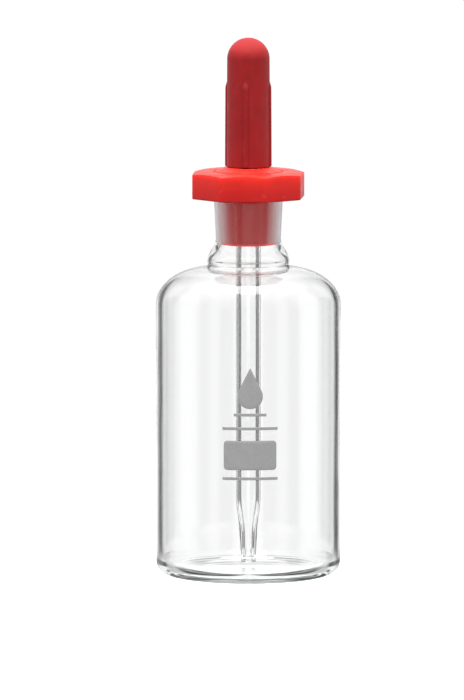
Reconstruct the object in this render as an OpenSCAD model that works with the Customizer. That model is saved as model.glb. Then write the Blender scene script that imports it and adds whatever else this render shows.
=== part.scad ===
// Dropping bottle: a clear glass bottle with a ground neck, closed by a moulded stopper that
// carries a glass dropping pipette and a rubber teat.
// Millimetres. +Z is up, the origin is the centre of the base's underside, and the label faces -Y.

/* [Bottle body] */
// Outer diameter of the body
body_d = 56.8; // [54:0.2:60]
// Height at which the straight wall ends and the shoulder starts
wall_top = 83; // [76:1:88]
// Height of the shoulder, from the straight wall to the neck
shoulder_h = 11.5; // [9:0.5:14]
// Thickness of the body's glass
glass_t = 1.8; // [1.4:0.1:2.4]
// Thickness of the glass at the top of the shoulder and in the swelling of the neck
shoulder_t = 1.1; // [1:0.1:1.8]
// Radius of the heel, where the wall turns into the base
heel_r = 4; // [3:0.5:6]
// Thickness of the base at its middle
base_t = 1.8; // [1.6:0.1:2.4]
// Height of the hollow under the base
push_up = 0.5; // [0.2:0.1:0.6]

/* [Bottle neck] */
// Length of the neck, from the widest point of the swelling at its foot to the rim
neck_l = 18.8; // [18:0.2:22]
// Length of the flare above the swelling, up to where the neck becomes straight
flare_l = 6.8; // [5:0.2:8]
// Diameter of the ground socket at the rim
socket_d = 18.8; // [17.8:0.2:19.6]
// Length of the ground zone, measured down from the rim
ground_l = 13.4; // [11:0.2:14]
// Thickness of the neck's glass beside the ground zone
neck_t = 1.2; // [1:0.1:1.5]
// Largest diameter of the swelling where the neck meets the shoulder
swell_d = 25.3; // [24.5:0.1:26]

/* [Stopper] */
// Width of the octagonal head across its corners
head_d = 36; // [34:0.5:40]
// Turn of the octagon about the upright axis, in degrees
head_turn = 17; // [0:0.5:45]
// Gap between the neck's rim and the underside of the head
rim_gap = 0.4; // [0.3:0.1:1]
// Height of the head, from its underside to its flat top
head_h = 8.2; // [7:0.1:10]
// Diameter of the flat top, inside the coned edge
head_top_d = 30.8; // [28:0.2:32]
// Drop of the coned edge at the octagon's corners
head_cone_h = 0.75; // [0.4:0.05:1.2]
// Height of the boss that the teat rests on
boss_h = 1.2; // [0.8:0.1:2]
// Length of the plug below the head
plug_l = 14.4; // [12:0.2:16]
// Thickness of the plug's wall
plug_t = 1.3; // [1:0.1:1.6]

/* [Pipette] */
// Outer diameter of the glass tube
tube_d = 7.6; // [7:0.1:8]
// Bore of the glass tube
tube_bore = 5.4; // [4.6:0.1:5.8]
// Height of the tip above the base's underside
tip_z = 3.4; // [3.2:0.1:8]
// Outer diameter at the tip
tip_d = 4.5; // [4.1:0.1:5]
// Bore at the tip
tip_bore = 2.5; // [1.8:0.1:2.8]
// Length of the tube that stands inside the teat
tube_reach = 11.6; // [11:0.2:14]

/* [Teat] */
// Length of the teat, from its mouth to the top of its dome
teat_l = 39.65; // [36:0.05:44]
// Diameter of the domed end
dome_d = 13; // [12.5:0.1:13.4]
// Diameter of the teat's mouth, without its ribs
mouth_d = 13.3; // [13:0.1:14]
// Length of the grip ribs, measured up from the mouth
rib_l = 26.6; // [20:0.2:27]
// Width of a grip rib
rib_w = 1.6; // [1.2:0.1:3]
// How far a grip rib stands out from the teat
rib_h = 0.5; // [0.3:0.05:0.7]
// Diameter of the hollow inside the teat
bulb_d = 9.6; // [9:0.1:10]

/* [Fired enamel] */
// Width of the writing patch, measured straight across
patch_w = 16.2; // [14:0.2:20]
// Height of the writing patch
patch_h = 9; // [7:0.2:11]
// Height of the patch's centre above the base
patch_z = 40; // [36:0.5:48]
// Thickness of the enamel on the glass
enamel_t = 0.08; // [0.05:0.01:0.15]

/* [Hidden] */

$fn = 96;
arc_steps = 14;          // straight steps in a quarter of a round outline
taper = 0.1;             // the ground joint's cone: diameter lost per unit of length
fit_gap = 0.05;          // radial clearance of the plug in the ground socket
grip_gap = 0.03;         // radial clearance around the pipette in the stopper
mouth_gap = 0.05;        // radial clearance around the pipette in the teat's mouth
seat_gap = 0.05;         // gap between the boss and the teat's mouth

body_r = body_d / 2;
foot_r = body_r - heel_r;
ring_r = foot_r - 3;     // inner edge of the flat ring that the bottle stands on
inner_r = body_r - glass_t;
shoulder_in = 12.5;      // radius at which the shoulder's outline has become level
swell_z = wall_top + shoulder_h + 2.2;    // height of the swelling's widest point
flare_top = swell_z + flare_l;
rim_z = swell_z + neck_l;
ground_z = rim_z - ground_l;
swell_r = swell_d / 2;
crease_r = swell_r - 0.3;
throat_r = swell_r - shoulder_t;

head_z = rim_z + rim_gap;    // height of the head's underside
head_top = head_z + head_h;
boss_top = head_top + boss_h;
boss_r = 10.2;
seat_r = 7.5;
plug_end = head_z - plug_l;
sleeve_r = tube_d / 2 + 1.1;
sleeve_end = plug_end + 4;
web_z = head_z + 4;      // underside of the solid web that closes the plug at the top

draw_z = 24;             // height at which the tube starts to narrow
waist_z = 12;            // height at which the narrowing turns into the slim tip
waist_d = 5.4;
waist_bore = 3;

mouth_z = boss_top + seat_gap;
tube_top = mouth_z + tube_reach;
grip_l = 9;              // length over which the mouth holds the pipette
total_h = mouth_z + teat_l;
dome_z = total_h - dome_d / 2;
rib_top = mouth_z + rib_l;
rib_count = 4;
rib_turn = -98;          // direction of the first rib, 8 degrees to the left of -Y

patch_x = 0.5;
drop_z = patch_z + 20.5;
drop_r = 3.9;
drop_h = 12.6;
rule_t = 0.9;
rules = [[10, 12.4], [17, 8.2], [17, -7.1]];    // width of each rule, and its height above the patch's centre

// Points along an elliptical arc, from angle a0 to angle a1.
function arc(cx, cy, rx, ry, a0, a1, steps = arc_steps) =
    [for (i = [0:steps]) let (a = a0 + (a1 - a0) * i / steps) [cx + rx * cos(a), cy + ry * sin(a)]];

// Points of a smooth S from radius r0 at height z0 to radius r1 at height z1, level at both ends.
function ease(r0, z0, r1, z1, steps = arc_steps) =
    [for (i = [0:steps]) let (t = i / steps)
        [r0 + (r1 - r0) * (1 - cos(180 * t)) / 2, z0 + (z1 - z0) * t]];

// Radius of the ground socket at height z.
function socket_r(z) = socket_d / 2 - taper / 2 * (rim_z - z);

// The list without its first n points.
function after(points, n = 1) = [for (i = [n:len(points) - 1]) points[i]];

module turned(outline) {
    rotate_extrude() polygon(outline);
}

// ---------------------------------------------------------------- bottle

function shoulder_arc(r, h) = arc(shoulder_in, wall_top, r - shoulder_in, h, 0, 88);

// The base rests on a flat ring, inside which it rises in a shallow hollow.
function bottle_outside() = concat(
    [for (t = [0:1 / 8:1]) [ring_r * t, push_up * (1 + cos(180 * t)) / 2]],
    arc(foot_r, heel_r, heel_r, heel_r, -90, 0),
    shoulder_arc(body_r, shoulder_h),
    arc(crease_r - 0.75, swell_z, 1.05, 1.5, -50, 0, 5),
    after(ease(swell_r, swell_z, socket_r(flare_top) + neck_t, flare_top)),
    arc(socket_r(rim_z) + neck_t - 0.6, rim_z - 0.6, 0.6, 0.6, 0, 90, 5)
);

function bottle_inside() = concat(
    [[socket_r(rim_z) + 0.3, rim_z], [socket_r(rim_z - 0.3), rim_z - 0.3]],
    [[socket_r(ground_z), ground_z], [socket_r(ground_z) + 0.15, ground_z - 0.3]],
    after(ease(socket_r(ground_z) + 0.15, ground_z - 0.3, throat_r, swell_z)),
    [[throat_r + 0.15, swell_z - 1.6], [throat_r + 0.6, swell_z - 2.8]],
    [for (i = [arc_steps:-1:0]) shoulder_arc(inner_r, shoulder_h - shoulder_t)[i]],
    arc(inner_r - 3, base_t + push_up + 3, 3, 3, 0, -90, 8),
    [[0, base_t + push_up]]
);

module bottle() {
    color([0.86, 0.93, 0.95, 0.35])
        turned(concat(bottle_outside(), bottle_inside()));
}

// ---------------------------------------------------------------- fired enamel

// Wraps a flat outline, drawn in X and Z, onto the front of the body as a thin layer.
module on_glass() {
    color([0.62, 0.62, 0.63])
        intersection() {
            difference() {
                cylinder(h = wall_top, r = body_r + enamel_t);
                translate([0, 0, -1]) cylinder(h = wall_top + 2, r = body_r);
            }
            rotate([90, 0, 0]) linear_extrude(body_d) children();
        }
}

module rounded_rectangle(w, h, r) {
    square([w - 2 * r, h], center = true);
    square([w, h - 2 * r], center = true);
    for (x = [-1, 1], y = [-1, 1])
        translate([x * (w / 2 - r), y * (h / 2 - r)]) circle(r);
}

module writing_patch() {
    on_glass() translate([patch_x, patch_z]) rounded_rectangle(patch_w, patch_h, 1.1);
}

// A plain drop: a circle with the two tangents that meet above it.
module drop_mark() {
    reach = drop_h - drop_r;
    touch = acos(drop_r / reach);
    round_part = arc(0, 0, drop_r, drop_r, 90 + touch, 450 - touch, 3 * arc_steps);
    on_glass() translate([patch_x, drop_z - drop_h / 2 + drop_r])
        polygon(concat(round_part, [[0, reach]]));
}

module rule_marks() {
    on_glass()
        for (rule = rules)
            translate([patch_x, patch_z + rule[1]]) square([rule[0], rule_t], center = true);
}

// ---------------------------------------------------------------- stopper

module stopper_head() {
    fall = head_cone_h / (head_d / 2 - head_top_d / 2);    // the coned edge's drop per unit of radius
    intersection() {
        rotate([0, 0, head_turn]) translate([0, 0, head_z])
            linear_extrude(head_h) circle(head_d / 2, $fn = 8);
        turned([
            [0, head_z - 1], [head_d / 2 + 1, head_z - 1],
            [head_d / 2 + 1, head_top - head_cone_h - fall],
            [head_top_d / 2, head_top], [0, head_top]
        ]);
    }
}

module stopper() {
    plug_r = socket_r(plug_end) - fit_gap;
    neck_r = socket_r(rim_z) - fit_gap;
    color([0.90, 0.12, 0.09])
        difference() {
            union() {
                stopper_head();
                turned([
                    [0, plug_end], [plug_r - 0.3, plug_end], [plug_r, plug_end + 0.3],
                    [neck_r, rim_z], [neck_r, head_z + 1], [0, head_z + 1]
                ]);
                turned([[0, head_top - 1], [boss_r, head_top - 1], [boss_r, head_top],
                    [seat_r, boss_top], [0, boss_top]]);
            }
            turned([
                [sleeve_r, plug_end - 1], [plug_r - plug_t, plug_end - 1],
                [plug_r - plug_t, plug_end + 1], [neck_r - plug_t, head_z],
                [neck_r - plug_t - 1, web_z], [sleeve_r + 0.6, web_z], [sleeve_r, web_z - 0.6]
            ]);
            translate([0, 0, plug_end - 1])
                cylinder(h = sleeve_end - plug_end + 1, r = sleeve_r + 0.01);
            cylinder(h = total_h, r = tube_d / 2 + grip_gap);
        }
}

// ---------------------------------------------------------------- pipette

module pipette() {
    color([0.86, 0.93, 0.95, 0.35])
        turned(concat(
            [[tip_bore / 2, tip_z]],
            arc(tip_d / 2 - 0.3, tip_z + 0.3, 0.3, 0.3, -90, 0, 3),
            ease(waist_d / 2, waist_z, tube_d / 2, draw_z),
            arc(tube_d / 2 - 0.6, tube_top - 0.6, 0.6, 0.6, 0, 90, 4),
            [[tube_bore / 2 + 0.2, tube_top], [tube_bore / 2, tube_top - 0.3]],
            ease(tube_bore / 2, draw_z, waist_bore / 2, waist_z)
        ));
}

// ---------------------------------------------------------------- teat

module teat() {
    bulb_r = bulb_d / 2;
    mouth_r = tube_d / 2 + mouth_gap;
    bulb_z = mouth_z + grip_l;
    color([0.58, 0.13, 0.16])
        difference() {
            union() {
                turned(concat(
                    [[0, mouth_z], [mouth_d / 2 - 0.3, mouth_z], [mouth_d / 2, mouth_z + 0.3]],
                    arc(0, dome_z, dome_d / 2, dome_d / 2, 0, 90)
                ));
                for (i = [0:rib_count - 1])
                    rotate([0, 0, rib_turn + i * 360 / rib_count]) teat_rib();
            }
            turned(concat(
                [[0, mouth_z - 1], [mouth_r, mouth_z - 1], [mouth_r, bulb_z]],
                ease(mouth_r, bulb_z, bulb_r, bulb_z + 1.5, 4),
                arc(0, dome_z, bulb_r, bulb_r, 0, 90)
            ));
        }
}

// One rib along +X: a flat-sided bar that ends in a round nose, cut to a cylinder's outside.
module teat_rib() {
    reach = mouth_d / 2 + rib_h;
    intersection() {
        translate([0, 0, mouth_z]) rotate([90, 0, 90]) linear_extrude(reach + 1) {
            translate([-rib_w / 2, 0.3]) square([rib_w, rib_top - mouth_z - rib_w / 2 - 0.3]);
            translate([0, rib_top - mouth_z - rib_w / 2]) circle(rib_w / 2);
        }
        turned([[bulb_d / 2 + 0.5, mouth_z], [reach - 0.2, mouth_z], [reach, mouth_z + 0.3],
            [dome_d / 2 + rib_h, rib_top - 1.8], [dome_d / 2, rib_top], [bulb_d / 2 + 0.5, rib_top]]);
    }
}

bottle();
writing_patch();
drop_mark();
rule_marks();
stopper();
pipette();
teat();
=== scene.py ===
"""Looks for a glass dropping bottle with a moulded stopper, a glass pipette and a rubber teat."""

import math

import bpy
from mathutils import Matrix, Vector


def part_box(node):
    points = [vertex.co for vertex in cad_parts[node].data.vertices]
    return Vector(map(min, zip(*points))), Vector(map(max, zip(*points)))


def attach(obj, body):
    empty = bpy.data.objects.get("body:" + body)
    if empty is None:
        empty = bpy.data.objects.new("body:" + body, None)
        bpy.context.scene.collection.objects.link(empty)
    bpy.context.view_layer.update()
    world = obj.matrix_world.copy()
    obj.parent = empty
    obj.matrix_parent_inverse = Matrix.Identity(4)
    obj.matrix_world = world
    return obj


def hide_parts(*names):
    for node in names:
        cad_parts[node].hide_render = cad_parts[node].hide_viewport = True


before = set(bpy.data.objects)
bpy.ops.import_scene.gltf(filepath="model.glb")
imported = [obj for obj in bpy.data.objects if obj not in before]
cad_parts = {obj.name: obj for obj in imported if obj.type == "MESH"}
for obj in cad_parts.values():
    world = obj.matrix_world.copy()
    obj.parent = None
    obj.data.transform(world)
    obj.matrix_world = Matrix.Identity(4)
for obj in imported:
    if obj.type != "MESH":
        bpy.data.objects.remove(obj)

MM = 0.001
GLASS_IOR = 1.474
SHARP_EDGE = math.radians(40)
BOTTLE_SIDES = 256
TUBE_SIDES = 128
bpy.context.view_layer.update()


def node_mm(node):
    """Outer radius, lowest and highest level of a round CAD node, in millimetres."""
    low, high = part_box(node)
    return high[0] / MM, low[2] / MM, high[2] / MM


# ---------------------------------------------------------------- sizes, in millimetres and degrees

body_r, _, rim_z = node_mm("bottle")
_, plug_end, boss_top = node_mm("stopper")
tube_r, tip_z, tube_top = node_mm("pipette")
_, mouth_z, teat_top = node_mm("teat")

# Bottle
glass_t = 1.8
wall_top = 83
shoulder_h = 11.5
shoulder_in = 12.5
shoulder_t = 1.1
heel_r = 4
push_up = 0.5
push_up_r = 21.4
inner_floor = 2.3
inner_heel_r = 3
swell_r = 12.65
swell_z = 96.7
swell_round_r = 1.05
swell_round_h = 1.5
flare_top = 103.5
rim_round = 0.6
neck_t = 1.2
ground_z = 102.1
socket_rim_r = 9.4
# Radius that the ground socket loses for each millimetre down
taper = 0.05

# Stopper
fit_gap = 0.05
head_z = 115.9
head_top = 124.1
corner_r = 18
corner_round = 1.3
head_edge = 0.35
head_turn = 17
flat_r = 15.4
cone_drop = 0.75
boss_r = 10.2
seat_r = 7.5
plug_t = 1.3
web_z = 119.9
bore_r = tube_r + 0.03
sleeve_r = tube_r + 1.1
sleeve_end = 105.5
# Heights in metres: where the plastic's colour changes from the plug's to the head's, and the span up
# the head over which a painted light from above brightens it
plug_to_head = (115.0 * MM, 116.0 * MM)
painted_light_span = (116.5 * MM, 124.5 * MM)

# Pipette
tube_bore_r = 2.7
draw_z = 24
waist_z = 12
waist_r = 2.7
waist_bore_r = 1.5
tip_r = 2.25
tip_bore_r = 1.25
tip_round = 0.3
top_round = 0.6

# Teat
mouth_r = 6.65
dome_r = 6.5
rib_top = 151.95
rib_turn = -98
rib_half_w = 0.8
rib_h = 0.5
bulb_r = 4.8
grip_l = 9
grip_gap = 0.05
wall_taper = 0.15

# Enamel
enamel_t = 0.08
enamel_sunk = 0.03
# Share of the skin's thickness that is left at its edge
enamel_edge = 0.4
mark_x = 0.5
patch_w = 16.2
patch_h = 9
patch_z = 40
patch_corner = 1.1
drop_r = 3.9
drop_h = 12.6
drop_z = 60.5
rule_t = 0.9
rule_corner = 0.2
# Width and level of each rule
rules = {"rule_top": (10, 52.4), "rule_upper": (17, 48.2), "rule_lower": (17, 32.9)}


# ---------------------------------------------------------------- outlines

def arc(cx, cz, rx, rz, start, end, steps):
    """Points along an elliptical arc, with its angles in degrees."""
    points = []
    for i in range(steps + 1):
        a = math.radians(start + (end - start) * i / steps)
        points.append((cx + rx * math.cos(a), cz + rz * math.sin(a)))
    return points


def ease(r0, z0, r1, z1, steps=24):
    """Points of a smooth S from one radius to another, upright at both ends."""
    points = []
    for i in range(steps + 1):
        t = i / steps
        points.append((r0 + (r1 - r0) * (1 - math.cos(math.pi * t)) / 2, z0 + (z1 - z0) * t))
    return points


def line(r0, z0, r1, z1, steps):
    """Points along a straight stretch, without its last one."""
    return [(r0 + (r1 - r0) * i / steps, z0 + (z1 - z0) * i / steps) for i in range(steps)]


def smooth_step(low, high, x):
    """0 below low, 1 above high, and a smooth S between them."""
    t = min(max((x - low) / (high - low), 0), 1)
    return t * t * (3 - 2 * t)


# ---------------------------------------------------------------- meshes

def even_angles(count):
    """Angles that share a full turn equally, in radians."""
    return [2 * math.pi * i / count for i in range(count)]


def make_piece(name, vertices, faces, marks=None):
    """A smooth piece with crisp edges; marks gives each face's material index."""
    mesh = bpy.data.meshes.new(name)
    mesh.from_pydata(vertices, [], faces)
    if marks:
        mesh.polygons.foreach_set("material_index", marks)
    mesh.validate()
    mesh.shade_smooth()
    mesh.set_sharp_from_angle(angle=SHARP_EDGE)
    piece = bpy.data.objects.new(name, mesh)
    bpy.context.scene.collection.objects.link(piece)
    return piece


def turned(name, outline, angles, ring=False, reshape=None, finishes=None):
    """Turns an outline of (radius, height) points about the upright axis.

    A ring outline closes on itself. reshape(radius, height, angle) may move a point. finishes gives
    the material index of the band that starts at each outline point.
    """
    vertices = []
    rows = []
    for radius, height in outline:
        first = len(vertices)
        if radius == 0:
            vertices.append((0, 0, height * MM))
            rows.append([first] * len(angles))
            continue
        for angle in angles:
            r, z = reshape(radius, height, angle) if reshape else (radius, height)
            vertices.append((r * MM * math.cos(angle), r * MM * math.sin(angle), z * MM))
        rows.append(list(range(first, first + len(angles))))
    faces = []
    marks = []
    bands = len(rows) if ring else len(rows) - 1
    for j in range(bands):
        low, high = rows[j], rows[(j + 1) % len(rows)]
        for i in range(len(angles)):
            k = (i + 1) % len(angles)
            corners = list(dict.fromkeys([low[i], low[k], high[k], high[i]]))
            if len(corners) > 2:
                faces.append(corners)
                marks.append(finishes[j] if finishes else 0)
    return make_piece(name, vertices, faces, marks)


def dress(piece, body, materials, node):
    """Gives a piece its finish, rides it on its body and swaps it for its CAD node."""
    for material in materials:
        piece.data.materials.append(material)
    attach(piece, body)
    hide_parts(node)


def let_light_through(glass_piece):
    """Clear glass darkens nothing beneath it, so it casts no shadow."""
    glass_piece.visible_shadow = False


# ---------------------------------------------------------------- node materials

class Nodes:
    """A material's node tree, with short calls for the nodes used here."""

    def __init__(self, name):
        self.material = bpy.data.materials.new(name)
        self.material.use_nodes = True
        self.tree = self.material.node_tree
        self.shader = self.tree.nodes["Principled BSDF"]
        self.output = self.tree.nodes["Material Output"]
        coordinates = self.tree.nodes.new("ShaderNodeTexCoord")
        self.place = coordinates.outputs["Object"]

    def link(self, source, target):
        self.tree.links.new(source, target)

    def noise(self, scale, detail=3, stretch=(1, 1, 1), distortion=0):
        """A noise whose features are about 1/scale metres across, stretched along the axes."""
        mapping = self.tree.nodes.new("ShaderNodeMapping")
        mapping.inputs["Scale"].default_value = [scale / s for s in stretch]
        self.link(self.place, mapping.inputs["Vector"])
        node = self.tree.nodes.new("ShaderNodeTexNoise")
        node.inputs["Scale"].default_value = 1
        node.inputs["Detail"].default_value = detail
        node.inputs["Distortion"].default_value = distortion
        self.link(mapping.outputs["Vector"], node.inputs["Vector"])
        return node.outputs["Fac"]

    def spread(self, value, low, high, at=(0.35, 0.65)):
        """Maps a value's range, by default a noise's middle one, smoothly to low and high."""
        node = self.tree.nodes.new("ShaderNodeMapRange")
        node.interpolation_type = "SMOOTHSTEP"
        node.inputs["From Min"].default_value = at[0]
        node.inputs["From Max"].default_value = at[1]
        node.inputs["To Min"].default_value = low
        node.inputs["To Max"].default_value = high
        self.link(value, node.inputs["Value"])
        return node.outputs["Result"]

    def edge_on(self):
        """0 where a surface faces the ray that meets it, rising to 1 where it is seen edge on."""
        node = self.tree.nodes.new("ShaderNodeLayerWeight")
        node.inputs["Blend"].default_value = 0.5
        return node.outputs["Facing"]

    def blend(self, factor, first, second):
        """A colour between two colours or colour outputs, by a factor from 0 to 1."""
        node = self.tree.nodes.new("ShaderNodeMix")
        node.data_type = "RGBA"
        self.link(factor, node.inputs["Factor"])
        colour_a, colour_b = node.inputs[6], node.inputs[7]
        for socket, colour in ((colour_a, first), (colour_b, second)):
            if isinstance(colour, tuple):
                socket.default_value = (*colour, 1)
            else:
                self.link(colour, socket)
        return node.outputs[2]

    def height(self):
        """Height in the piece at rest, above the bottle's foot, in metres."""
        node = self.tree.nodes.new("ShaderNodeSeparateXYZ")
        self.link(self.place, node.inputs[0])
        return node.outputs["Z"]

    def bump(self, *layers):
        """Bumps laid one on another, each a (height output, depth in metres) pair."""
        normal = None
        for height, depth in layers:
            node = self.tree.nodes.new("ShaderNodeBump")
            node.inputs["Strength"].default_value = 1
            node.inputs["Distance"].default_value = depth
            self.link(height, node.inputs["Height"])
            if normal:
                self.link(normal, node.inputs["Normal"])
            normal = node.outputs["Normal"]
        self.link(normal, self.shader.inputs["Normal"])

    def set(self, **values):
        """Sets shader inputs to numbers, colours or outputs of other nodes, by name."""
        for name, value in values.items():
            socket = self.shader.inputs[name.replace("_", " ")]
            if isinstance(value, tuple):
                socket.default_value = (*value, 1) if socket.type == "RGBA" else value
            elif isinstance(value, (int, float)):
                socket.default_value = value
            else:
                self.link(value, socket)


def clear_glass(name, draw_lines):
    """Clear borosilicate glass: faint draw lines and waves, and a film of handling marks."""
    glass = Nodes(name)
    waves = glass.noise(70, detail=1, stretch=(1, 1, 1.6))
    lines = glass.noise(900, detail=2, stretch=(1, 1, 60))
    film = glass.noise(120, detail=6, distortion=1)
    glass.bump((waves, 0.00006), (lines, draw_lines))
    glass.set(
        Base_Color=(1, 1, 1), Transmission_Weight=1.0, IOR=GLASS_IOR,
        Roughness=glass.spread(film, 0.0, 0.012, at=(0.55, 0.8)),
    )
    volume = glass.tree.nodes.new("ShaderNodeVolumeAbsorption")
    volume.inputs["Color"].default_value = (0.8, 0.92, 0.88, 1)
    volume.inputs["Density"].default_value = 12
    glass.link(volume.outputs["Volume"], glass.output.inputs["Volume"])
    return glass.material


def ground_glass():
    """The ground joint's frosted band: a fine matt grain, whiter where it is seen edge on."""
    glass = Nodes("ground_glass")
    grain = glass.noise(5200, detail=4)
    cloud = glass.noise(260, detail=3)
    glass.bump((grain, 0.000003))
    glass.set(
        Base_Color=(0.62, 0.56, 0.57), IOR=GLASS_IOR, Specular_IOR_Level=0.2,
        Transmission_Weight=glass.spread(glass.edge_on(), 1.0, 0.05, at=(0.06, 0.34)),
        Roughness=glass.spread(cloud, 0.34, 0.4),
    )
    return glass.material


def moulded_plastic():
    """Red moulded polyethylene: soft gloss, slight flow marks, paler on scuffed spots.

    The head's red is painted brighter upwards, a painted light from above. The plug below it, seen
    through glass, is painted a brighter, clearer red than the head: painted light for how it shows
    through the ground joint.
    """
    plastic = Nodes("red_polyethylene")
    flow = plastic.noise(90, detail=3, distortion=1.2)
    grain = plastic.noise(2600, detail=3)
    scuffs = plastic.noise(420, detail=6, stretch=(3, 1, 1), distortion=0.6)
    marked = plastic.blend(plastic.spread(flow, 0, 1), (0.38, 0.010, 0.0065), (0.34, 0.007, 0.005))
    # Painted light from above: the head's red brightens from its foot towards its top
    rise = plastic.spread(plastic.height(), 0, 1, at=painted_light_span)
    painted_top_light = plastic.blend(rise, (0.235, 0.0016, 0.003), (0.47, 0.013, 0.0075))
    head = plastic.blend(plastic.spread(flow, 0.35, 0.65), painted_top_light, marked)
    is_head = plastic.spread(plastic.height(), 0, 1, at=plug_to_head)
    # Painted light: the plug, the head's own plastic, gets a brighter, clearer red for how it shows
    # through the ground joint
    base = plastic.blend(is_head, (0.75, 0.003, 0.004), head)
    worn = plastic.blend(plastic.spread(scuffs, 0, 0.25, at=(0.62, 0.8)), base, (0.55, 0.10, 0.075))
    plastic.bump((flow, 0.00008), (grain, 0.000006))
    plastic.set(
        Base_Color=worn, Roughness=plastic.spread(scuffs, 0.3, 0.44), IOR=1.51,
        Specular_IOR_Level=0.15,
        Subsurface_Weight=0.35, Subsurface_Radius=(1.0, 0.2, 0.1), Subsurface_Scale=0.004,
    )
    return plastic.material


def teat_rubber():
    """Dark red rubber: matt skin with a slight bloom, mottled a little."""
    rubber = Nodes("red_rubber")
    mottle = rubber.noise(160, detail=4, distortion=0.5)
    grain = rubber.noise(3000, detail=3)
    bloom = rubber.noise(500, detail=6, stretch=(1, 1, 2.5))
    base = rubber.blend(rubber.spread(mottle, 0, 1), (0.150, 0.0018, 0.0027), (0.133, 0.0014, 0.0022))
    dusty = rubber.blend(rubber.spread(bloom, 0, 0.12, at=(0.5, 0.8)), base, (0.18, 0.02, 0.024))
    rubber.bump((mottle, 0.00006), (grain, 0.00001))
    rubber.set(
        Base_Color=dusty, Roughness=rubber.spread(bloom, 0.42, 0.58), IOR=1.52,
        Specular_IOR_Level=0.15,
        Sheen_Weight=0.02, Sheen_Roughness=0.5, Sheen_Tint=(1.0, 0.7, 0.75),
    )
    return rubber.material


def fired_enamel():
    """Grey glass enamel: matt, slightly cloudy and finely speckled."""
    enamel = Nodes("grey_enamel")
    speckle = enamel.noise(3500, detail=5)
    cloud = enamel.noise(240, detail=3)
    base = enamel.blend(enamel.spread(speckle, 0, 1), (0.14, 0.14, 0.14), (0.172, 0.172, 0.172))
    shade = enamel.blend(enamel.spread(cloud, 0, 0.35), base, (0.18, 0.18, 0.178))
    enamel.bump((speckle, 0.00001))
    enamel.set(Base_Color=shade, Roughness=enamel.spread(speckle, 0.5, 0.7), IOR=1.5)
    return enamel.material


# ---------------------------------------------------------------- bottle

def socket_r(z):
    """Radius of the neck's ground socket at a level."""
    return socket_rim_r - taper * (rim_z - z)


def make_bottle(glass, ground):
    """The blown bottle, outside and inside, with the ground band in its neck."""
    inner_r = body_r - glass_t
    heel_in = inner_r - inner_heel_r
    throat_r = swell_r - shoulder_t
    inner_h = shoulder_h - shoulder_t
    rim_r = socket_r(rim_z)
    outside = (
        [(push_up_r * t / 12, push_up * (1 + math.cos(math.pi * t / 12)) / 2) for t in range(13)]
        + arc(body_r - heel_r, heel_r, heel_r, heel_r, -90, 0, 20)
        + line(body_r, heel_r + 1, body_r, wall_top, 12)
        + arc(shoulder_in, wall_top, body_r - shoulder_in, shoulder_h, 0, 88, 40)
        + arc(swell_r - swell_round_r, swell_z, swell_round_r, swell_round_h, -50, 0, 10)
        + ease(swell_r, swell_z, socket_r(flare_top) + neck_t, flare_top)[1:]
        + arc(rim_r + neck_t - rim_round, rim_z - rim_round, rim_round, rim_round, 0, 90, 8)
    )
    frosted = [(rim_r + 0.3, rim_z), (socket_r(rim_z - 0.3), rim_z - 0.3)]
    inside = (
        [(socket_r(ground_z), ground_z)]
        + ease(socket_r(ground_z) + 0.15, ground_z - 0.3, throat_r, swell_z)
        + [(throat_r + 0.15, swell_z - 1.6), (throat_r + 0.6, swell_z - 2.8)]
        + arc(shoulder_in, wall_top, inner_r - shoulder_in, inner_h, 88, 0, 40)
        + line(inner_r, wall_top - 1, inner_r, inner_floor + inner_heel_r, 12)
        + arc(heel_in, inner_floor + inner_heel_r, inner_heel_r, inner_heel_r, 0, -90, 16)
        + [(0, inner_floor)]
    )
    outline = outside + frosted + inside
    finishes = [0] * len(outline)
    finishes[len(outside) + 1] = 1
    bottle = turned("bottle_glass", outline, even_angles(BOTTLE_SIDES), finishes=finishes)
    let_light_through(bottle)
    dress(bottle, "bottle", [glass, ground], "bottle")


def make_pipette(glass):
    """The tube, drawn in to a thick-walled tip, with its bore right through."""
    outline = (
        [(tip_bore_r, tip_z + 0.1), (tip_bore_r + 0.1, tip_z)]
        + arc(tip_r - tip_round, tip_z + tip_round, tip_round, tip_round, -90, 0, 8)
        + line(tip_r, tip_z + 1, waist_r, waist_z, 6)
        + ease(waist_r, waist_z, tube_r, draw_z)
        + line(tube_r, draw_z + 2, tube_r, tube_top - 1, 30)
        + arc(tube_r - top_round, tube_top - top_round, top_round, top_round, 0, 90, 8)
        + [(tube_bore_r + 0.2, tube_top), (tube_bore_r, tube_top - 0.3)]
        + line(tube_bore_r, tube_top - 2, tube_bore_r, draw_z + 1, 30)
        + ease(tube_bore_r, draw_z, waist_bore_r, waist_z)
    )
    pipette = turned("pipette_glass", outline, even_angles(TUBE_SIDES), ring=True)
    let_light_through(pipette)
    dress(pipette, "pipette", [glass], "pipette")


# ---------------------------------------------------------------- stopper

def octagon_reach(corner, rounding):
    """(angles, radii) of an octagon outline whose corners are rounded."""
    sides = 8
    corner_steps = 8
    side_steps = 12
    half = math.pi / sides
    centre = corner - rounding / math.cos(half)
    points = []
    for side in range(sides):
        turn = math.radians(head_turn) + 2 * half * side
        cx, cy = centre * math.cos(turn), centre * math.sin(turn)
        for i in range(corner_steps + 1):
            a = turn - half + 2 * half * i / corner_steps
            points.append((cx + rounding * math.cos(a), cy + rounding * math.sin(a)))
        after = turn + 2 * half
        ex = centre * math.cos(after) + rounding * math.cos(after - half)
        ey = centre * math.sin(after) + rounding * math.sin(after - half)
        sx, sy = points[-1]
        for i in range(1, side_steps):
            points.append((sx + (ex - sx) * i / side_steps, sy + (ey - sy) * i / side_steps))
    angles = [math.atan2(y, x) for x, y in points]
    radii = [math.hypot(x, y) for x, y in points]
    return angles, radii


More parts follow.
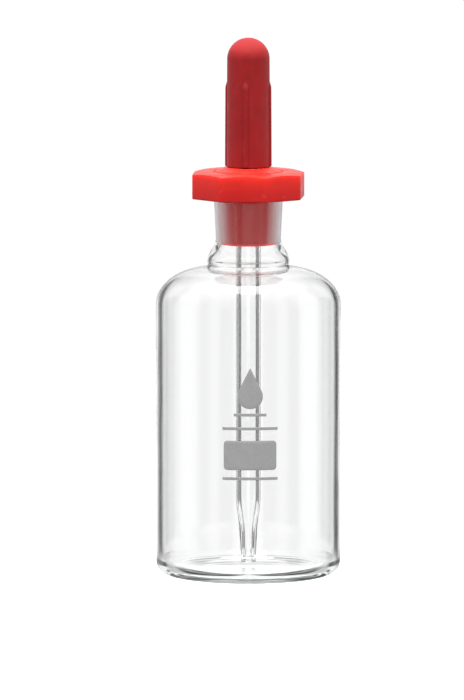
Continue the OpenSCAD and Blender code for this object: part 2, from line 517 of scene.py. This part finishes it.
def make_stopper(plastic):
    """The octagonal head and its boss, the hollow plug, and the sleeve round the pipette."""
    angles, radii = octagon_reach(corner_r, corner_round)
    reach = dict(zip(angles, radii))
    fall = cone_drop / (corner_r - flat_r)
    plug_r = socket_r(plug_end) - fit_gap
    neck_r = socket_r(rim_z) - fit_gap
    hollow_r = plug_r - plug_t

    def head(radius, height, angle):
        """Points past the flat top's radius are drawn in to the octagon and lie on its cone."""
        if radius <= flat_r:
            return radius, height
        r = reach[angle] * radius / corner_r
        if height > head_top - 0.01:
            return r, height - fall * (r - flat_r)
        return r, height

    side = corner_r
    outline = (
        [(plug_r - 0.3, plug_end), (plug_r, plug_end + 0.3)]
        + [(neck_r, rim_z), (neck_r + 0.25, head_z)]
        + line(neck_r + 0.6, head_z, side - head_edge, head_z, 4)
        + arc(side - head_edge, head_z + head_edge, head_edge, head_edge, -90, 0, 5)
        + line(side, head_z + 1, side, head_top - 1.5, 4)
        + [(side, head_top - cone_drop - head_edge), (side - 0.03, head_top - cone_drop - 0.1)]
        + [(side - 0.12, head_top), (side - 0.3, head_top), (side - 0.8, head_top)]
        + [(flat_r, head_top), (12.8, head_top), (boss_r + 0.8, head_top)]
        + [(boss_r + 0.45, head_top - 0.45), (boss_r, head_top - 0.5), (boss_r - 0.1, head_top + 0.06)]
        + [(seat_r + 0.3, boss_top - 0.1), (seat_r, boss_top), (bore_r + 0.3, boss_top)]
        + [(bore_r, boss_top - 0.3), (bore_r, sleeve_end + 0.2), (bore_r + 0.2, sleeve_end)]
        + [(sleeve_r - 0.2, sleeve_end), (sleeve_r, sleeve_end + 0.2)]
        + [(sleeve_r, web_z - 0.6), (sleeve_r + 0.6, web_z), (neck_r - plug_t - 1, web_z)]
        + [(neck_r - plug_t, head_z), (hollow_r, plug_end + 1), (hollow_r, plug_end + 0.2)]
        + [(hollow_r + 0.2, plug_end)]
    )
    stopper = turned("stopper_moulding", outline, angles, ring=True, reshape=head)
    dress(stopper, "stopper", [plastic], "stopper")


# ---------------------------------------------------------------- teat

def rib_angles():
    """Directions round the teat, close together at the flanks of each rib."""
    near = [-14, -12, -10, -8.6, -7.8, -7.2, -6.7, -6.2, -5.6, -4.6, -3, -1.2]
    offsets = near + [0] + [-a for a in reversed(near)] + [18 + 6 * i for i in range(10)]
    return [math.radians(rib_turn + 90 * k + a) for k in range(4) for a in offsets]


def make_teat(rubber):
    """The teat: its ribbed wall and dome outside, and the hollow bulb and the bore inside."""
    dome_z = teat_top - dome_r
    bulb_z = mouth_z + grip_l
    bore = tube_r + grip_gap
    half_angle = math.degrees(rib_half_w / mouth_r)

    def ribbed(radius, height, angle):
        """Lifts the outer wall over each of the four ribs, which fade out at both ends."""
        if radius < bulb_r + 1 or height > dome_z:
            return radius, height
        turn = (math.degrees(angle) - rib_turn + 45) % 90 - 45
        flank = 1 - smooth_step(half_angle - 1.1, half_angle + 0.7, abs(turn))
        nose = 1 - smooth_step(rib_top - 1.9, rib_top, height + 0.02 * turn * turn)
        foot = smooth_step(mouth_z, mouth_z + 0.5, height)
        return radius + rib_h * flank * nose * foot, height

    foot_z = mouth_z + 0.6
    rise = dome_z - foot_z
    steps = 60
    outline = (
        [(bore + 0.25, mouth_z), (mouth_r - 0.3, mouth_z), (mouth_r - 0.08, mouth_z + 0.1)]
        + line(mouth_r, mouth_z + 0.3, mouth_r, foot_z, 2)
        + [(mouth_r - wall_taper * t / steps, foot_z + rise * t / steps) for t in range(steps)]
        + arc(0, dome_z, dome_r, dome_r, 0, 86, 24)
        + [(0, teat_top), (0, dome_z + bulb_r)]
        + arc(0, dome_z, bulb_r, bulb_r, 84, 0, 12)
        + line(bulb_r, dome_z - 1, bulb_r, bulb_z + 2, 8)
        + ease(bulb_r, bulb_z + 1.5, bore, bulb_z, 8)
        + [(bore, mouth_z + 0.25)]
    )
    teat = turned("teat_rubber", outline, rib_angles(), ring=True, reshape=ribbed)
    dress(teat, "teat", [rubber], "teat")


# ---------------------------------------------------------------- fired enamel

def dense(outline, step=0.4):
    """The same closed outline, with points added along its long edges."""
    points = []
    for (x0, z0), (x1, z1) in zip(outline, outline[1:] + outline[:1]):
        points += line(x0, z0, x1, z1, max(1, round(math.hypot(x1 - x0, z1 - z0) / step)))
    return points


def enamel_sheet(name, outline):
    """A thin closed skin on the front of the glass, within an outline of (x, z) points.

    It is lower at its edge, and its back lies just inside the glass.
    """
    outline = dense(outline)
    front_r = body_r + enamel_t
    back_r = body_r - enamel_sunk
    cx = sum(x for x, _ in outline) / len(outline)
    cz = sum(z for _, z in outline) / len(outline)
    rings = 10
    vertices = []
    faces = []

    def on_glass(x, z, r):
        """The point at radius r where a flat (x, z) point lands when it is wrapped on the body."""
        angle = x / body_r - math.pi / 2
        return (r * MM * math.cos(angle), r * MM * math.sin(angle), z * MM)

    count = len(outline)
    for k in range(rings, 0, -1):
        r = back_r + (front_r - back_r) * enamel_edge if k == rings else front_r
        shrink = k / rings
        for x, z in outline:
            vertices.append(on_glass(cx + (x - cx) * shrink, cz + (z - cz) * shrink, r))
    for k in range(rings - 1):
        for i in range(count):
            j = (i + 1) % count
            faces.append([k * count + i, k * count + j, (k + 1) * count + j, (k + 1) * count + i])
    middle = len(vertices)
    vertices.append(on_glass(cx, cz, front_r))
    last = (rings - 1) * count
    faces += [[last + i, last + (i + 1) % count, middle] for i in range(count)]
    back = len(vertices)
    vertices += [on_glass(x, z, back_r) for x, z in outline]
    hub = len(vertices)
    vertices.append(on_glass(cx, cz, back_r))
    for i in range(count):
        j = (i + 1) % count
        faces.append([back + i, back + j, j, i])
        faces.append([hub, back + j, back + i])
    return make_piece(name, vertices, faces)


def rounded_rectangle(cx, cz, w, h, corner):
    """Outline of a rectangle about a middle point, with its corners rounded."""
    points = []
    for sx, sz, start in ((1, 1, 0), (-1, 1, 90), (-1, -1, 180), (1, -1, 270)):
        x, z = cx + sx * (w / 2 - corner), cz + sz * (h / 2 - corner)
        points += arc(x, z, corner, corner, start, start + 90, 6)
    return points


def drop_outline():
    """Outline of a drop: a circle below, and the two lines that touch it from a point above."""
    reach = drop_h - drop_r
    touch = math.degrees(math.acos(drop_r / reach))
    low = drop_z - drop_h / 2 + drop_r
    return arc(mark_x, low, drop_r, drop_r, 90 + touch, 450 - touch, 48) + [(mark_x, low + reach)]


# ---------------------------------------------------------------- build

glass = clear_glass("clear_glass", 0.000004)
tube_glass = clear_glass("tube_glass", 0.000006)
enamel = fired_enamel()

make_bottle(glass, ground_glass())
make_pipette(tube_glass)
make_stopper(moulded_plastic())
make_teat(teat_rubber())

patch_outline = rounded_rectangle(mark_x, patch_z, patch_w, patch_h, patch_corner)
patch = enamel_sheet("patch_enamel", patch_outline)
dress(patch, "bottle", [enamel], "writing_patch")
drop = enamel_sheet("drop_enamel", drop_outline())
dress(drop, "bottle", [enamel], "drop_mark")
for name, (width, level) in rules.items():
    bar = enamel_sheet(name, rounded_rectangle(mark_x, level, width, rule_t, rule_corner))
    dress(bar, "bottle", [enamel], "rule_marks")


# ---------------------------------------------------------------- studio

def make_disc(name, radius, height):
    """A flat round sheet of the studio's, facing up."""
    count = 96
    ring = [(radius * math.cos(a), radius * math.sin(a), height) for a in even_angles(count)]
    mesh = bpy.data.meshes.new(name)
    mesh.from_pydata(ring, [], [list(range(count))])
    disc = bpy.data.objects.new(name, mesh)
    bpy.context.scene.collection.objects.link(disc)
    return disc


def matt_paint(name, level):
    """A plain matt grey."""
    paint = Nodes(name)
    paint.set(Base_Color=(level, level, level), Roughness=0.9, Specular_IOR_Level=0.0)
    return paint.material


def make_floor():
    """A wide pale floor that only the camera sees, and a grey card just under the bottle's foot, a
    painted shadow where the bottle would shade the floor.
    """
    floor_r = 600
    shadow_card_r = 23.5
    floor_z = -0.04
    shadow_card_z = -0.02
    floor = make_disc("studio_floor", floor_r * MM, floor_z * MM)
    floor.visible_transmission = False
    floor.visible_glossy = False
    floor.visible_diffuse = False
    floor.data.materials.append(matt_paint("pale_floor", 0.82))
    # Painted shadow: a dark grey card under the foot, seen through the glass base in place of the
    # bottle's shade on the floor
    shadow_card = make_disc("painted_shadow_card", shadow_card_r * MM, shadow_card_z * MM)
    shadow_card.data.materials.append(matt_paint("painted_shadow_grey", 0.36))


class WorldNodes:
    """The world's node tree, with short calls for the nodes used here."""

    def __init__(self):
        world = bpy.data.worlds.new("studio_surround")
        bpy.context.scene.world = world
        world.use_nodes = True
        self.nodes, self.links = world.node_tree.nodes, world.node_tree.links

    def fill(self, node, sockets, values):
        """Sets a node's sockets to numbers, colours or outputs of other nodes."""
        for socket, value in zip(sockets, values):
            if isinstance(value, bpy.types.NodeSocket):
                self.links.new(value, socket)
            else:
                socket.default_value = value
        return node

    def math(self, operation, *values):
        """The result of one step of arithmetic."""
        node = self.nodes.new("ShaderNodeMath")
        node.operation = operation
        return self.fill(node, node.inputs, values).outputs["Value"]

    def ramp(self, value, low, high, stops):
        """A grey that follows value from low to high through stops of (place, level)."""
        span = self.math("DIVIDE", self.math("SUBTRACT", value, low), high - low)
        node = self.nodes.new("ShaderNodeValToRGB")
        elements = node.color_ramp.elements
        while len(elements) < len(stops):
            elements.new(0.5)
        for element, (place, level) in zip(elements, stops):
            element.position = (place - low) / (high - low)
            element.color = (level, level, level, 1)
        self.links.new(span, node.inputs["Fac"])
        return node.outputs["Color"]

    def mix(self, factor, first, second):
        """The first colour where factor is 0, the second where it is 1 or more."""
        node = self.nodes.new("ShaderNodeMix")
        node.data_type = "RGBA"
        colour_a, colour_b = node.inputs[6], node.inputs[7]
        self.fill(node, (node.inputs["Factor"], colour_a, colour_b), (factor, first, second))
        return node.outputs[2]


def make_surround():
    """A white studio surround, whose light differs with the ray that looks at it.

    Seen straight by the camera it is plain white. Through glass it has dark gaps between its panels,
    which draw the glass's edges: panels stand at each quarter turn for a low camera, and halfway
    between them further down, where a high camera looks. Reflections see paler gaps and a bright
    ceiling. Diffuse surfaces are lit mostly from above, and the ones behind glass from the sides and
    from below.
    """
    world = WorldNodes()
    direction = world.nodes.new("ShaderNodeTexCoord").outputs["Generated"]
    split = world.nodes.new("ShaderNodeSeparateXYZ")
    world.links.new(direction, split.inputs[0])
    azimuth = world.math("ARCTAN2", split.outputs["X"], split.outputs["Y"])
    turn = world.math("MULTIPLY", azimuth, 180 / math.pi)
    tilt = world.math("MULTIPLY", world.math("ARCSINE", split.outputs["Z"]), 180 / math.pi)

    def by_turn(degrees, stops):
        """A grey that changes round the studio, the same way in each quarter turn."""
        return world.ramp(world.math("FLOORED_MODULO", degrees, 90.0), 0, 90, stops)

    def by_tilt(*stops):
        """A grey that changes from straight down, at -90 degrees, to straight up."""
        return world.ramp(tilt, -90, 90, stops)

    middle_from = 36
    middle_to = 54
    panels = [
        (0, 1.0), (15, 1.0), (19, 0.8), (22, 0.0), (middle_from, 0.0), (40, 0.4), (50, 0.4),
        (middle_to, 0.0), (70, 0.0), (73, 0.8), (78, 1.0), (90, 1.0),
    ]

    def lifted(near_gap, far_gap):
        """The panels with the middle one at full white and the gaps on its two sides less dark."""
        stops = []
        for place, level in panels:
            gap = near_gap if place < middle_to else far_gap
            is_middle = middle_from < place < middle_to
            stops.append((place, 1.0 if is_middle else max(level, gap)))
        return stops

    low_view = by_turn(turn, panels)
    high_view = by_turn(world.math("ADD", turn, 45.0), lifted(0.55, 0.55))
    sides = world.mix(by_tilt((-12, 0), (-10, 1)), high_view, low_view)
    sides_and_floor = world.mix(by_tilt((-40, 1), (-32, 0)), sides, low_view)
    ceiling = (1.3, 1.3, 1.3, 1)
    through = world.mix(by_tilt((35, 0), (60, 1)), sides_and_floor, ceiling)

    around = by_turn(turn, lifted(0.42, 0.8))
    overhead = by_tilt((15, 0.75), (35, 1.3), (60, 1.9), (90, 1.9))
    mirrored = world.mix(by_tilt((8, 0), (16, 1)), around, overhead)

    ambient = by_tilt((-90, 0.3), (-20, 0.7), (-6, 1.3), (6, 1.3), (28, 3.2), (50, 7.0), (90, 11.0))
    within = by_tilt((-90, 1.6), (-10, 2.4), (8, 2.4), (20, 0.5))
    backdrop = (1.02, 1.02, 1.02, 1)

    ray = world.nodes.new("ShaderNodeLightPath").outputs
    clear = world.mix(ray["Is Transmission Ray"], mirrored, through)
    inside = world.mix(ray["Diffuse Depth"], clear, within)
    lit = world.mix(ray["Is Diffuse Ray"], inside, ambient)
    seen = world.mix(ray["Is Camera Ray"], lit, backdrop)
    world.links.new(seen, world.nodes["Background"].inputs["Color"])


def make_light(name, place, aim, size, power):
    """A square softbox, turned to a point, that shows in no reflection."""
    light = bpy.data.lights.new(name, "AREA")
    light.shape = "SQUARE"
    light.size = size
    light.energy = power
    lamp = bpy.data.objects.new(name, light)
    lamp.location = place
    lamp.rotation_euler = (Vector(aim) - Vector(place)).to_track_quat("-Z", "Y").to_euler()
    lamp.visible_glossy = False
    bpy.context.scene.collection.objects.link(lamp)


def make_camera():
    """A long lens a little above the bottle, which stands right of the frame's middle."""
    distance = 2.421
    lift = math.radians(6.6)
    aim = Vector((-5 * MM, 0, 69 * MM))
    data = bpy.data.cameras.new("camera")
    data.lens = 406
    camera = bpy.data.objects.new("camera", data)
    camera.location = aim + distance * Vector((0, -math.cos(lift), math.sin(lift)))
    camera.rotation_euler = (math.pi / 2 - lift, 0, 0)
    bpy.context.scene.collection.objects.link(camera)
    bpy.context.scene.camera = camera


make_floor()
make_surround()
make_light("softbox_above", place=(0, -0.05, 0.8), aim=(0, 0, 0.1), size=0.45, power=11)
make_camera()
bpy.context.scene.view_settings.view_transform = "Standard"
bounces = 24
bpy.context.scene.cycles.max_bounces = bounces
bpy.context.scene.cycles.transmission_bounces = bounces
bpy.context.scene.cycles.glossy_bounces = bounces
